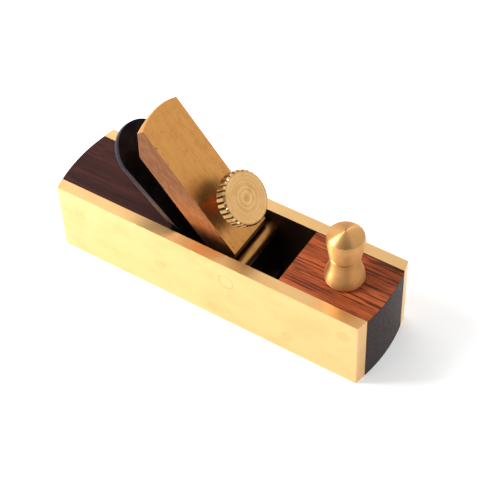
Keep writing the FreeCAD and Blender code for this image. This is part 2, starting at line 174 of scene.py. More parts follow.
# The file's slips: how far along, how wide, how deep, and how much each one leans.
FILE_SLIPS = [(-6.1, 0.30, 0.16, 20), (-4.4, 0.22, 0.12, -15), (-1.2, 0.26, 0.14, 10), (1.9, 0.34, 0.20, 25),
              (4.8, 0.22, 0.13, -10), (6.0, 0.28, 0.18, 5), (9.6, 0.24, 0.14, 18), (12.3, 0.32, 0.17, -22)]
PLATE_BRASS = (0.90, 0.56, 0.24, 1)
PLATE_BRASS_DULL = (0.80, 0.46, 0.17, 1)
# Painted shade and dirt: the dark given to the faces turned to the middle of the plane.
INNER_FACE_SHADE_AND_DIRT = (0.10, 0.055, 0.03, 1)
# A face counts as turned to the middle below the first of these, and as turned outward above the second:
# its distance from the middle in millimetres times how far it faces to that side.
INNER_FACE_SIDE = (-8.0, -4.0)


def take_up(piece):
    """Makes a piece the only one that operators act on."""
    put_down()
    piece.select_set(True)
    bpy.context.view_layer.objects.active = piece


def pick(piece, kind, wanted):
    """Goes into edit mode with only the VERT, EDGE or FACE elements selected that wanted() accepts."""
    take_up(piece)
    bpy.ops.object.mode_set(mode="EDIT")
    bpy.ops.mesh.select_mode(type=kind)
    bpy.ops.mesh.select_all(action="DESELECT")
    shape = bmesh.from_edit_mesh(piece.data)
    for element in {"VERT": shape.verts, "EDGE": shape.edges, "FACE": shape.faces}[kind]:
        if wanted(element):
            element.select_set(True)
    bmesh.update_edit_mesh(piece.data)


def saw(piece, through, off, close=True):
    """Saws a piece along a plane and drops the side that off points to."""
    take_up(piece)
    bpy.ops.object.mode_set(mode="EDIT")
    bpy.ops.mesh.select_all(action="SELECT")
    bpy.ops.mesh.bisect(plane_co=through, plane_no=off, use_fill=close, clear_outer=True, threshold=ON_PLANE)
    bpy.ops.object.mode_set(mode="OBJECT")


def apply_modifier(piece, kind, **settings):
    """Adds a modifier with these settings and applies it."""
    take_up(piece)
    modifier = piece.modifiers.new(kind.lower(), kind)
    for setting, value in settings.items():
        setattr(modifier, setting, value)
    bpy.ops.object.modifier_apply(modifier=modifier.name)


def cut_away(piece, cutters):
    """Cuts the cutters' shapes out of a piece and throws the cutters away."""
    for cutter in cutters:
        apply_modifier(piece, "BOOLEAN", object=cutter, operation="DIFFERENCE", solver="EXACT")
        bpy.data.objects.remove(cutter)


def drill(piece, holes):
    """Drills holes through a piece from side to side: (across, up, diameter) each."""
    cut_away(piece, [
        add("cylinder", "drill", vertices=64, radius=diameter / 2, depth=2 * BODY_WIDTH,
            rotation=(math.pi / 2, 0, 0), location=(across, 0, up))
        for across, up, diameter in holes])


def break_edges(piece, width):
    """Breaks a piece's sharp edges by this width, as a file or fine paper does."""
    apply_modifier(piece, "BEVEL", width=width, segments=2, limit_method="ANGLE",
                   angle_limit=math.radians(30), miter_outer="MITER_ARC")


def smooth_over(piece, angle=35):
    """Shades the gentle edges smooth, with large faces kept flat."""
    take_up(piece)
    bpy.ops.object.shade_smooth_by_angle(angle=math.radians(angle))
    apply_modifier(piece, "WEIGHTED_NORMAL", keep_sharp=True, weight=50)


def bowed_end(name, near, far, height, end):
    """A slice of a wide disc between two lengthwise planes: a board with one bowed end."""
    disc = add("cylinder", name, vertices=END_FACETS, radius=END_RADIUS, depth=height,
               location=(end * (BODY_LENGTH / 2 - END_RADIUS), 0, height / 2))
    saw(disc, (0, near, 0), (0, -1, 0))
    saw(disc, (0, far, 0), (0, 1, 0))
    return disc


class Value:
    """A socket in a material, with Python's arithmetic on it."""

    def __init__(self, finish, socket):
        self.finish = finish
        self.socket = socket

    def maths(self, operation, *terms):
        return self.finish.node("Math", dict(enumerate(terms)), operation=operation)

    def __add__(self, other):
        return self.maths("ADD", self, other)

    def __mul__(self, other):
        return self.maths("MULTIPLY", self, other)

    def __sub__(self, other):
        return self.maths("SUBTRACT", self, other)

    def __rsub__(self, other):
        return self.maths("SUBTRACT", other, self)

    def __abs__(self):
        return self.maths("ABSOLUTE", self)

    __radd__ = __add__
    __rmul__ = __mul__

    def between(self, low, high):
        """0 up to low, 1 from high on, with a soft step from one to the other."""
        return self.finish.node("MapRange", {"Value": self, "From Min": low, "From Max": high},
                                interpolation_type="SMOOTHSTEP")


class Finish:
    """A material: nodes added one by one in front of its Principled shader."""

    def __init__(self, name, constants):
        self.material = bpy.data.materials.new(name)
        self.material.use_nodes = True
        self.nodes = self.material.node_tree.nodes
        self.shader = self.nodes["Principled BSDF"]
        for socket, value in constants.items():
            self.shader.inputs[socket].default_value = value

    def feed(self, socket, value):
        if isinstance(value, Value):
            self.material.node_tree.links.new(value.socket, socket)
        else:
            socket.default_value = value

    def node(self, kind, sockets=(), output=0, **settings):
        """Adds a node: its settings first, then its sockets' values or links."""
        made = self.nodes.new("ShaderNode" + kind)
        for setting, value in settings.items():
            setattr(made, setting, value)
        for socket, value in dict(sockets).items():
            self.feed(made.inputs[socket], value)
        return Value(self, made.outputs[output])

    def place(self, origin=(0, 0, 0), turn=(0, 0, 0), stretch=(1, 1, 1)):
        """Object coordinates in millimetres from an origin and turn, each axis stretched by its share."""
        where = self.node("TexCoord", output="Object")
        return self.node("Mapping", {
            "Vector": where, "Location": origin, "Rotation": turn,
            "Scale": tuple(MM * share for share in stretch)}, vector_type="TEXTURE")

    def noise(self, where, scale=1.0, detail=3.0, roughness=0.55, distortion=0.0):
        return self.node("TexNoise", {"Vector": where, "Scale": scale, "Detail": detail,
                                      "Roughness": roughness, "Distortion": distortion})

    def rings(self, distance, detail):
        """Noise that changes only with a distance."""
        return self.node("TexNoise", {"W": distance, "Scale": 1.0, "Detail": detail}, noise_dimensions="1D")

    def part(self, vector, axis):
        """A vector's X, Y or Z."""
        return self.node("SeparateXYZ", {"Vector": vector}, output=axis)

    def facing(self):
        """Which way the surface faces."""
        return self.node("TexCoord", output="Normal")

    def mix(self, share, first, second):
        """Colours mixed by a share."""
        return self.node("Mix", {"Factor": share, "A": first, "B": second},
                         output="Result", data_type="RGBA")

    def bump(self, height, distance):
        """The Normal that a height pattern gives."""
        return self.node("Bump", {"Height": height, "Distance": distance})

    def show(self, **sockets):
        """Links what changes over the surface to the shader, and gives the material back."""
        for socket, value in sockets.items():
            self.feed(self.shader.inputs[socket.replace("_", " ").title()], value)
        return self.material


def dress(piece, material):
    """Gives a piece one material."""
    piece.data.materials.clear()
    piece.data.materials.append(material)


def ground_brass(name, bright, dull):
    """Brass ground lengthwise: fine belt lines along X, faint cloudy tarnish and a few tiny pits.
    The faces turned to the middle of the plane are painted dark as shade and dirt, and are dull."""
    finish = Finish(name, {"Metallic": 1.0})
    lines = finish.noise(finish.place(stretch=(9.0, 0.12, 0.12)), detail=4)
    coarse = finish.noise(finish.place(stretch=(16.0, 0.6, 0.6)), detail=2)
    clouds = finish.noise(finish.place(stretch=(9.0, 5.0, 5.0)), detail=3)
    pits = finish.noise(finish.place(stretch=(0.6, 0.6, 0.6)), detail=1)
    pitted = pits.between(0.75, 0.79)
    tone = clouds.between(0.42, 0.72) * 0.45 + pitted * 0.5
    side = finish.part(finish.place(), "Y")
    facing = finish.part(finish.facing(), "Y")
    # The faces turned to the middle are painted dark as shade and dirt.
    inner_shade_and_dirt = 1 - (side * facing).between(*INNER_FACE_SIDE)
    return finish.show(
        base_color=finish.mix(inner_shade_and_dirt, finish.mix(tone, bright, dull), INNER_FACE_SHADE_AND_DIRT),
        roughness=lines * 0.10 + clouds * 0.10 + 0.22 + inner_shade_and_dirt * 0.25,
        normal=finish.bump(lines + coarse * 0.6 - pitted * 0.8, 0.012 * MM))


plate_material = ground_brass("ground_plate_brass", PLATE_BRASS, PLATE_BRASS_DULL)
half_width = BODY_WIDTH / 2
plate_holes = [(across, up, RIVET_DIAMETER) for across, up in RIVETS.values()]
plate_holes.append((ROD_X, ROD_Z, ROD_DIAMETER + 2 * ROD_GAP))
plates = {}
for name, node, near in (("right_plate", "right_side_plate", -half_width),
                         ("left_plate", "left_side_plate", half_width - PLATE_THICKNESS)):
    plate = bowed_end(name, near, near + PLATE_THICKNESS, BODY_HEIGHT, 1)
    saw(plate, (0, 0, 0), (-1, 0, 0), close=False)
    apply_modifier(plate, "MIRROR", use_axis=(True, False, False), use_mirror_merge=True,
                   merge_threshold=WELD)
    break_edges(plate, PLATE_EDGE)
    drill(plate, plate_holes)
    plates[name] = plate
    dress(plate, plate_material)
    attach(plate, "root")
    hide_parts(node)

inner_edge = PLATE_THICKNESS - half_width
slips = []
for along, width, depth, lean in FILE_SLIPS:
    slips.append(add(
        "cylinder", "slip", vertices=12, radius=width * MM, depth=1.6 * MM,
        rotation=(math.radians(60), 0, math.radians(lean)),
        location=(along * MM, inner_edge + (width - depth) * 0.6 * MM, BODY_HEIGHT + (width - depth) * MM)))
cut_away(plates["right_plate"], slips)
for plate in plates.values():
    smooth_over(plate)


# ---- rosewood blocks ------------------------------------------------------------------------------
# The body's middle is two blocks of rosewood between the plates, a little lower than they are: the toe,
# sawn back to the throat's front wall, and the heel, cut to the blade's bed. Both are riveted and oiled.

WOOD_HEIGHT = 20.65 * MM
WOOD_EDGE = 0.14 * MM
THROAT_FOOT, THROAT_TOP = 15.0 * MM, 19.65 * MM
BED_ANGLE = math.radians(43.5)
BED_FOOT = 10.6 * MM
KNOB_X = 32.5 * MM
STUD_DIAMETER = 4.0 * MM
STUD_IN_WOOD = 9.0 * MM
TOE_RIVETS = ("toe_rivet_front", "toe_rivet_rear")
# Each wood's red, its brown, its black and the colour of its end grain.
TOE_COLOURS = ((0.50, 0.11, 0.028, 1), (0.29, 0.060, 0.019, 1), (0.035, 0.011, 0.009, 1),
               (0.030, 0.020, 0.020, 1))
BED_COLOURS = ((0.060, 0.015, 0.011, 1), (0.036, 0.010, 0.008, 1), (0.014, 0.007, 0.007, 1),
               (0.030, 0.016, 0.014, 1))
# Where in its noise a ribbon of brown or a dark streak begins and is full.
RIBBONS = (0.40, 0.62)
TOE_STREAKS, BED_STREAKS = (0.48, 0.62), (0.50, 0.68)


def rosewood(name, red, brown, black, end_dark, ribbon, streaked):
    """Oiled rosewood: colour bands and dark streaks along X, short pores, and darker end grain."""
    finish = Finish(name, {"Specular IOR Level": 0.12})
    bands = finish.noise(finish.place(stretch=(34.0, 2.6, 5.0)), detail=3, distortion=0.5)
    streaks = finish.noise(finish.place(stretch=(16.0, 0.62, 1.3)), detail=4, roughness=0.62,
                           distortion=0.35)
    pores = finish.noise(finish.place(stretch=(3.4, 0.16, 0.3)), detail=2)
    flecks = finish.noise(finish.place(stretch=(0.35, 0.35, 0.35)), detail=2)
    facing = finish.part(finish.facing(), "X")
    end = abs(facing).between(0.75, 0.95)
    streak = streaks.between(*streaked)
    pore = pores.between(0.56, 0.70)
    ground = finish.mix(bands.between(*ribbon), red, brown)
    along = finish.mix(streak * 0.80 + pore * 0.50, ground, black)
    across = finish.mix(flecks.between(0.35, 0.75), end_dark, black)
    return finish.show(
        base_color=finish.mix(end, along, across),
        roughness=0.45 + pore * 0.25 + streak * 0.08,
        normal=finish.bump(0.0 - pore * 0.7 - streak * 0.3, 0.03 * MM))


def wood_block(name, node, end, through, off, rivets, material):
    """A block between the plates, sawn back along its side of the throat."""
    block = bowed_end(name, inner_edge, -inner_edge, WOOD_HEIGHT, end)
    saw(block, through, off)
    break_edges(block, WOOD_EDGE)
    drill(block, [RIVETS[rivet] + (RIVET_DIAMETER,) for rivet in rivets])
    dress(block, material)
    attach(block, "root")
    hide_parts(node)
    return block


toe_material = rosewood("toe_rosewood_oiled", *TOE_COLOURS, RIBBONS, TOE_STREAKS)
bed_material = rosewood("bed_rosewood_oiled", *BED_COLOURS, RIBBONS, BED_STREAKS)

toe_wood = wood_block("toe_wood", "toe_block", 1, (THROAT_FOOT, 0, 0),
                      (-WOOD_HEIGHT, 0, THROAT_TOP - THROAT_FOOT), TOE_RIVETS, toe_material)
stud_drill = add("cylinder", "stud_drill", vertices=48, radius=STUD_DIAMETER / 2, depth=2 * STUD_IN_WOOD,
                 location=(KNOB_X, 0, WOOD_HEIGHT))
cut_away(toe_wood, [stud_drill])
bed_wood = wood_block("bed_wood", "bed_block", -1, (BED_FOOT, 0, 0),
                      (math.sin(BED_ANGLE), 0, math.cos(BED_ANGLE)),
                      [rivet for rivet in RIVETS if rivet not in TOE_RIVETS], bed_material)
for block in (toe_wood, bed_wood):
    smooth_over(block)


# ---- rivets ---------------------------------------------------------------------------------------
# Five brass pins through plates and wood. They were peened, then ground flush with the plates, so only
# a hairline round each end shows.

RIVET_EDGE = 0.05 * MM
RIVET_BRASS = (0.86, 0.52, 0.21, 1)
ROUND_SIDES = 64


def turned(name, outline, sides=ROUND_SIDES):
    """A lathe job about Z, from (radius, height) pairs: a disc extruded and resized from one to the next."""
    radius, height = outline[0]
    piece = add("circle", name, vertices=sides, radius=radius, fill_type="NGON", location=(0, 0, height))
    take_up(piece)
    bpy.ops.object.mode_set(mode="EDIT")
    bpy.ops.mesh.select_all(action="SELECT")
    for next_radius, next_height in outline[1:]:
        growth = next_radius / radius
        bpy.ops.mesh.extrude_region_move(TRANSFORM_OT_translate={"value": (0, 0, next_height - height)})
        bpy.ops.transform.resize(value=(growth, growth, 1), center_override=(0, 0, 0))
        radius, height = next_radius, next_height
    bpy.ops.mesh.select_all(action="SELECT")
    bpy.ops.mesh.normals_make_consistent(inside=False)
    bpy.ops.object.mode_set(mode="OBJECT")
    return piece


def put(piece, location, rotation=(0, 0, 0)):
    """Moves and turns a piece to its place and keeps that place in its mesh."""
    take_up(piece)
    piece.location = location
    piece.rotation_euler = rotation
    bpy.ops.object.transform_apply(location=True, rotation=True, scale=True)


def crosswise_pin(name, diameter, edge, across, up):
    """A pin from the right plate's face to the left one's, with its end edges broken."""
    radius = diameter / 2
    pin = turned(name, [(radius - edge, -half_width), (radius, edge - half_width),
                        (radius, half_width - edge), (radius - edge, half_width)])
    put(pin, (across, 0, up), (math.pi / 2, 0, 0))
    smooth_over(pin)
    return pin


rivet_material = ground_brass("rivet_brass_flush", RIVET_BRASS, PLATE_BRASS_DULL)
for node, (across, up) in RIVETS.items():
    rivet = crosswise_pin(node + "_pin", RIVET_DIAMETER, RIVET_EDGE, across, up)
    dress(rivet, rivet_material)
    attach(rivet, "root")
    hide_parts(node)


# ---- cross rod ------------------------------------------------------------------------------------
# A brass rod across the throat that the lever cap hooks under. It turns in its holes as the cap rocks.

ROD_EDGE = 0.05 * MM
TURNED_BRASS_DULL = (0.62, 0.30, 0.09, 1)
# Dirt and painted shade in grooves and flutes.
BRASS_DIRT_AND_SHADE = (0.06, 0.030, 0.015, 1)
ROD_DARK = (0.40, 0.18, 0.055, 1)
# The grain of the wide rings on a faced end, in a millimetre, and the tool marks' direction in turns.
WIDE_RINGS, QUARTER_TURN = 2.2, 0.25


def lathe_brass(name, bright, dull, origin, turn, ring, face_rings=0.0, roughness=0.24, top=None, under=None,
                groove=None, streaked=0.0):
    """Turned brass: rings left by the tool round the axis, and on a faced end, rings about its centre.
    top and under are the colours of the faces square to the axis. Dirt and painted shade lie inside the
    first of groove's two radii and thin out to the second. streaked is how far the tool's marks draw out a
    highlight."""
    finish = Finish(name, {"Metallic": 1.0, "Anisotropic": streaked, "Anisotropic Rotation": QUARTER_TURN})
    where = finish.place(origin, turn)
    axis = finish.part(where, "Z")
    flat = finish.node("VectorMath", {0: where, 1: (1, 1, 0)}, operation="MULTIPLY")
    radius = finish.node("VectorMath", {0: flat}, output="Value", operation="LENGTH")
    along = finish.rings(axis * ring, 3.0)
    round_rings = finish.rings(radius * ring, 2.0)
    wide_rings = finish.rings(radius * WIDE_RINGS, 2.0)
    clouds = finish.noise(where, scale=0.45, detail=4)
    tone = clouds.between(0.45, 0.85) * 0.5 + wide_rings.between(0.38, 0.62) * face_rings
    colour = finish.mix(tone, bright, dull)
    normal = finish.node("Mapping", {"Vector": finish.facing(), "Rotation": turn}, vector_type="TEXTURE")
    upward = finish.part(normal, "Z")
    if top is not None:
        colour = finish.mix(upward.between(0.8, 0.95), colour, top)
    if under is not None:
        colour = finish.mix((0.0 - upward).between(0.8, 0.95), colour, under)
    if groove is not None:
        # Painted shade and dirt inside the groove's radius.
        dirt_and_shade = (1 - radius.between(*groove)) * (1 - abs(upward).between(0.3, 0.8))
        colour = finish.mix(dirt_and_shade, colour, BRASS_DIRT_AND_SHADE)
    return finish.show(
        base_color=colour,
        roughness=roughness + clouds * 0.12,
        normal=finish.bump(along + round_rings * face_rings * 2.0, 0.01 * MM))


rod = crosswise_pin("cross_rod_bar", ROD_DIAMETER, ROD_EDGE, ROD_X, ROD_Z)
dress(rod, lathe_brass("rod_brass", TURNED_BRASS_DULL, ROD_DARK, (ROD_X, 0, ROD_Z), (math.pi / 2, 0, 0), 6.0,
                       top=PLATE_BRASS, under=PLATE_BRASS))
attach(rod, "rocker")
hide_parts("cross_rod")


# ---- front knob -----------------------------------------------------------------------------------
# One turned brass knob: a rounded base that flares up to a waist, a V groove, a head that widens
# upwards and a low domed top with the lathe's centre mark. A stud screws it to the toe.

KNOB_SIDES = 96
# Each point of the outline as radius and height above the wood.
KNOB_FOOT, KNOB_BASE, KNOB_FLARE, KNOB_WAIST = (4.43, 0.0), (4.86, 1.1), (4.2, 3.8), (3.68, 6.5)
KNOB_GROOVE_FOOT, KNOB_GROOVE, KNOB_GROOVE_TOP = (3.82, 7.9), (3.56, 8.15), (3.82, 8.4)
KNOB_HEAD, KNOB_RIM = (4.56, 13.2), (4.36, 14.7)
# How far each arc stands out from its chord, as a share of the chord.
BASE_BULGE, FLARE_BULGE, WAIST_BULGE, HEAD_BULGE = 0.12, 0.04, -0.04, 0.02
KNOB_TOP = 16.4
KNOB_BORE = (2.0, 5.0)
CENTRE_MARK = 0.35
KNOB_BRASS = (0.78, 0.42, 0.155, 1)
KNOB_ROUGHNESS, KNOB_STREAKED = 0.37, 0.9
# The knob's V groove is painted dark as dirt and shade inside these radii.
KNOB_DIRT_AND_SHADE = (3.50, 3.70)


def arc(start, through, finish, steps):
    """Points on the circle through three points, after the start and up to the finish."""
    (ax, ay), (bx, by), (cx, cy) = start, through, finish
    d = 2 * (ax * (by - cy) + bx * (cy - ay) + cx * (ay - by))
    a2, b2, c2 = ax * ax + ay * ay, bx * bx + by * by, cx * cx + cy * cy
    ux = (a2 * (by - cy) + b2 * (cy - ay) + c2 * (ay - by)) / d
    uy = (a2 * (cx - bx) + b2 * (ax - cx) + c2 * (bx - ax)) / d
    radius = math.hypot(ax - ux, ay - uy)
    first, middle, last = (math.atan2(y - uy, x - ux) for x, y in (start, through, finish))
    way = (last - first + math.pi) % (2 * math.pi) - math.pi
    angles = [first + way * i / steps for i in range(1, steps + 1)]
    return [(ux + radius * math.cos(angle), uy + radius * math.sin(angle)) for angle in angles]


def dome(rim, top, centre, steps):
    """Points of a low dome about the axis, from its rim to where the centre mark's rim is."""
    rise = top - rim[1]
    radius = (rim[0] ** 2 + rise ** 2) / (2 * rise)
    half = math.asin(rim[0] / radius)
    inner = math.asin(centre / radius)
    angles = [half + (inner - half) * i / steps for i in range(1, steps + 1)]
    return [(radius * math.sin(angle), top - radius + radius * math.cos(angle)) for angle in angles]


def bulging(first, second, share, steps):
    """Points of an arc from first to second whose middle is pushed outward by a share of the chord."""
    along, rise = second[0] - first[0], second[1] - first[1]
    middle = (first[0] + along / 2 + share * rise, first[1] + rise / 2 - share * along)
    return arc(first, middle, second, steps)


knob_outline = [KNOB_BORE, (KNOB_BORE[0], 0.0), KNOB_FOOT]
for first, second, bulge, steps in ((KNOB_FOOT, KNOB_BASE, BASE_BULGE, 6),
                                    (KNOB_BASE, KNOB_FLARE, FLARE_BULGE, 8),
                                    (KNOB_FLARE, KNOB_WAIST, WAIST_BULGE, 8),
                                    (KNOB_WAIST, KNOB_GROOVE_FOOT, WAIST_BULGE, 6)):
    knob_outline += bulging(first, second, bulge, steps)
knob_outline += [KNOB_GROOVE, KNOB_GROOVE_TOP]
knob_outline += bulging(KNOB_GROOVE_TOP, KNOB_HEAD, HEAD_BULGE, 8)
knob_outline += bulging(KNOB_HEAD, KNOB_RIM, HEAD_BULGE, 4)
knob_outline += dome(KNOB_RIM, KNOB_TOP, CENTRE_MARK, 10)
knob_outline += [(CENTRE_MARK * 0.8, KNOB_TOP - 0.10), (CENTRE_MARK * 0.3, KNOB_TOP - 0.22)]

knob = turned("turned_knob", [(radius * MM, height * MM) for radius, height in knob_outline], KNOB_SIDES)
put(knob, (KNOB_X, 0, WOOD_HEIGHT))
smooth_over(knob, 25)
knob_material = lathe_brass("knob_brass", KNOB_BRASS, TURNED_BRASS_DULL, (KNOB_X, 0, WOOD_HEIGHT), (0, 0, 0),
                            5.0, roughness=KNOB_ROUGHNESS, streaked=KNOB_STREAKED, groove=KNOB_DIRT_AND_SHADE)
dress(knob, knob_material)
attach(knob, "root")
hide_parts("front_knob")

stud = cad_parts["knob_stud"]
dress(stud, knob_material)


# ---- blade ----------------------------------------------------------------------------------------
# A flat iron, blued black, ground to one bevel underneath and half round at its top end. It lies bevel
# down on the bed and slides along it.

BLADE_WIDTH = 16.0 * MM
BLADE_THICKNESS = 1.8 * MM
BLADE_EDGE_X = 1.75 * MM
BLADE_ROUND_X = -47.55 * MM
BLADE_BEVEL = math.radians(25)
BLADE_GAP = 0.02 * MM
BLADE_ORIGIN = (BED_FOOT + BLADE_GAP / math.sin(BED_ANGLE), 0, 0)
BLADE_TURN = (0, BED_ANGLE, 0)
BEVEL_WAY = (math.sin(BLADE_BEVEL), 0, -math.cos(BLADE_BEVEL))
BLADE_CORNER = 0.18 * MM
# Cosines of the angles from the bevel between which its bright steel fades in.
ON_BEVEL = (0.97, 0.995)
BLUED_BLACK = (0.010, 0.008, 0.012, 1)
BLUED_GREY = (0.030, 0.028, 0.034, 1)
BRIGHT_STEEL = (0.52, 0.52, 0.54, 1)

blade = add("cylinder", "blade_iron", vertices=160, radius=BLADE_WIDTH / 2, depth=BLADE_THICKNESS,
            location=(BLADE_ROUND_X, 0, BLADE_THICKNESS / 2))
saw(blade, (BLADE_ROUND_X, 0, 0), (1, 0, 0))
pick(blade, "FACE", lambda face: face.normal.x > 0.99)
bpy.ops.mesh.extrude_region_move(TRANSFORM_OT_translate={"value": (BLADE_EDGE_X - BLADE_ROUND_X, 0, 0)})
saw(blade, (BLADE_EDGE_X, 0, BLADE_THICKNESS), BEVEL_WAY)
apply_modifier(blade, "BEVEL", width=BLADE_CORNER, segments=2, limit_method="ANGLE",
               angle_limit=math.radians(70))
put(blade, BLADE_ORIGIN, BLADE_TURN)
smooth_over(blade)

steel = Finish("blued_blade_steel", {"Metallic": 1.0})
on_blade = steel.place(BLADE_ORIGIN, BLADE_TURN)
blade_normal = steel.node("Mapping", {"Vector": steel.facing(), "Rotation": BLADE_TURN},
                          vector_type="TEXTURE")
bevel_face = steel.node("VectorMath", {0: blade_normal, 1: BEVEL_WAY}, output="Value",
                        operation="DOT_PRODUCT").between(*ON_BEVEL)
edge_face = (1 - abs(steel.part(blade_normal, "Z"))).between(0.25, 0.6)
bluing = steel.noise(on_blade, scale=0.35, detail=5)
lines = steel.noise(steel.place(BLADE_ORIGIN, BLADE_TURN, stretch=(0.10, 6.0, 1.0)), detail=3)
blued = steel.mix(bluing.between(0.35, 0.8) * 0.5 + edge_face * 0.5, BLUED_BLACK, BLUED_GREY)
dress(blade, steel.show(
    base_color=steel.mix(bevel_face, blued, BRIGHT_STEEL),
    roughness=0.34 + bluing * 0.2 - bevel_face * 0.1,
    normal=steel.bump(lines * 0.5 + bluing * 0.5, 0.01 * MM)))
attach(blade, "iron")
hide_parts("blade")


# ---- lever cap ------------------------------------------------------------------------------------
# A thick brass bar with a crowned top end, milled down in front to a tongue that hooks under the rod and
# presses on the blade, and drilled for the thumbscrew. Its face is brushed along its length. Its sides are
# painted brown and red as a dark reflection of the wood, and its bevelled shoulder is painted dark as shade
# and dirt.

CAP_ANGLE = math.radians(50)
CAP_WIDTH = 13.8 * MM
CAP_FACE = 2.54 * MM
CAP_UNDERSIDE = CAP_FACE - 7.3 * MM
CAP_TOP_X = -42.8 * MM
CAP_CROWN_RADIUS = 17.0 * MM
CAP_END_THICKNESS, CAP_END_BEVEL = 0.95 * MM, 7.3 * MM
CAP_SHOULDER_X, CAP_SHOULDER_BEVEL = -2.6 * MM, 1.25 * MM
TONGUE_FACE = -2.03 * MM
TONGUE_TAPER_X, TONGUE_HEEL_X, TONGUE_TIP_X = 4.4 * MM, 8.6 * MM, 11.8 * MM
TONGUE_TIP_LOW, TONGUE_TIP_HIGH = -5.3273 * MM, -4.8273 * MM
CAP_EDGE = 0.10 * MM
SCREW_REACH = 14.44 * MM
SCREW_HOLE = 4.1 * MM
ROD_AT = (ROD_X, 0, ROD_Z)
CAP_BRASS = (0.83, 0.40, 0.115, 1)
CAP_BRASS_DULL = (0.60, 0.25, 0.065, 1)
# Painted reflection: the sides' brown and red stand for the dark wood that they reflect.
CAP_SIDE_REFLECTION_BROWN = (0.20, 0.075, 0.030, 1)
CAP_SIDE_REFLECTION_RED = (0.25, 0.105, 0.045, 1)
CAP_STAIN = (0.16, 0.07, 0.03, 1)
# Painted shade and dirt on the bevelled shoulder under the rod.
CAP_SHOULDER_SHADE_AND_DIRT = (0.12, 0.075, 0.05, 1)
CAP_TURN = (0, CAP_ANGLE, 0)
# How far, in millimetres, the painted shade and dirt of the shoulder takes to fade in, and how near a point
# is found.
SHOULDER_FADE = 0.25
NEAR = 0.01 * MM

crown_x = CAP_TOP_X + CAP_CROWN_RADIUS
cap = add("cylinder", "lever_cap_bar", vertices=480, radius=CAP_CROWN_RADIUS, depth=CAP_FACE - CAP_UNDERSIDE,
          location=(crown_x, 0, (CAP_FACE + CAP_UNDERSIDE) / 2))
saw(cap, (0, -CAP_WIDTH / 2, 0), (0, -1, 0))
saw(cap, (0, CAP_WIDTH / 2, 0), (0, 1, 0))
saw(cap, (crown_x, 0, 0), (1, 0, 0))
saw(cap, (CAP_TOP_X, 0, CAP_FACE - CAP_END_THICKNESS),
    (-(CAP_FACE - CAP_END_THICKNESS - CAP_UNDERSIDE), 0, -CAP_END_BEVEL))
pick(cap, "FACE", lambda face: face.normal.x > 0.99)
bpy.ops.mesh.extrude_region_move(TRANSFORM_OT_translate={"value": (CAP_SHOULDER_X - crown_x, 0, 0)})
bpy.ops.mesh.select_all(action="SELECT")
bpy.ops.mesh.bisect(plane_co=(0, 0, TONGUE_FACE), plane_no=(0, 0, 1), threshold=ON_PLANE)
pick(cap, "FACE", lambda face: face.normal.x > 0.99 and face.calc_center_median().z < TONGUE_FACE)
tongue_stops = (CAP_SHOULDER_X, TONGUE_TAPER_X, TONGUE_HEEL_X, TONGUE_TIP_X)
for start, end in zip(tongue_stops, tongue_stops[1:]):
    bpy.ops.mesh.extrude_region_move(TRANSFORM_OT_translate={"value": (end - start, 0, 0)})
taper = (TONGUE_TIP_HIGH - TONGUE_FACE) / (TONGUE_TIP_X - TONGUE_TAPER_X)
for at_x, at_z, drop in ((TONGUE_HEEL_X, TONGUE_FACE, taper * (TONGUE_HEEL_X - TONGUE_TAPER_X)),
                         (TONGUE_TIP_X, TONGUE_FACE, TONGUE_TIP_HIGH - TONGUE_FACE),
                         (TONGUE_TIP_X, CAP_UNDERSIDE, TONGUE_TIP_LOW - CAP_UNDERSIDE)):
    pick(cap, "VERT", lambda vert: abs(vert.co.x - at_x) < NEAR and abs(vert.co.z - at_z) < NEAR)
    bpy.ops.transform.translate(value=(0, 0, drop))
pick(cap, "EDGE", lambda edge: all(abs(vert.co.x - CAP_SHOULDER_X) < NEAR
                                   and abs(vert.co.z - CAP_FACE) < NEAR for vert in edge.verts))
bpy.ops.mesh.bevel(offset=CAP_SHOULDER_BEVEL, offset_type="OFFSET", segments=1)
bpy.ops.mesh.select_all(action="SELECT")
bpy.ops.mesh.dissolve_limited(angle_limit=math.radians(0.1))
break_edges(cap, CAP_EDGE)
cut_away(cap, [add("cylinder", "tap_drill", vertices=64, radius=SCREW_HOLE / 2, depth=20 * MM,
                   location=(-SCREW_REACH, 0, 0))])
put(cap, ROD_AT, CAP_TURN)
smooth_over(cap)

cap_finish = Finish("brushed_cap_brass", {"Metallic": 1.0})
on_cap = cap_finish.place(ROD_AT, CAP_TURN)
brushing = cap_finish.noise(cap_finish.place(ROD_AT, CAP_TURN, stretch=(7.0, 0.11, 0.5)), detail=4)
streaks = cap_finish.noise(cap_finish.place(ROD_AT, CAP_TURN, stretch=(12.0, 0.7, 0.7)), detail=3)
clouds = cap_finish.noise(cap_finish.place(ROD_AT, CAP_TURN, stretch=(2.2, 1.5, 1.5)), detail=4)
pits = cap_finish.noise(on_cap, scale=0.55, detail=2)
pitted = pits.between(0.71, 0.75)
tone = streaks.between(0.35, 0.75) * 0.35 + clouds.between(0.45, 0.80) * 0.45
# The sides are painted brown and red as a reflection of the wood, and are rougher.
sawn = abs(cap_finish.part(cap_finish.facing(), "Y")).between(0.80, 0.95)
patches = cap_finish.noise(cap_finish.place(ROD_AT, CAP_TURN, stretch=(2.6, 1.0, 0.9)), detail=5)
cap_face = cap_finish.mix(tone, CAP_BRASS, CAP_BRASS_DULL)
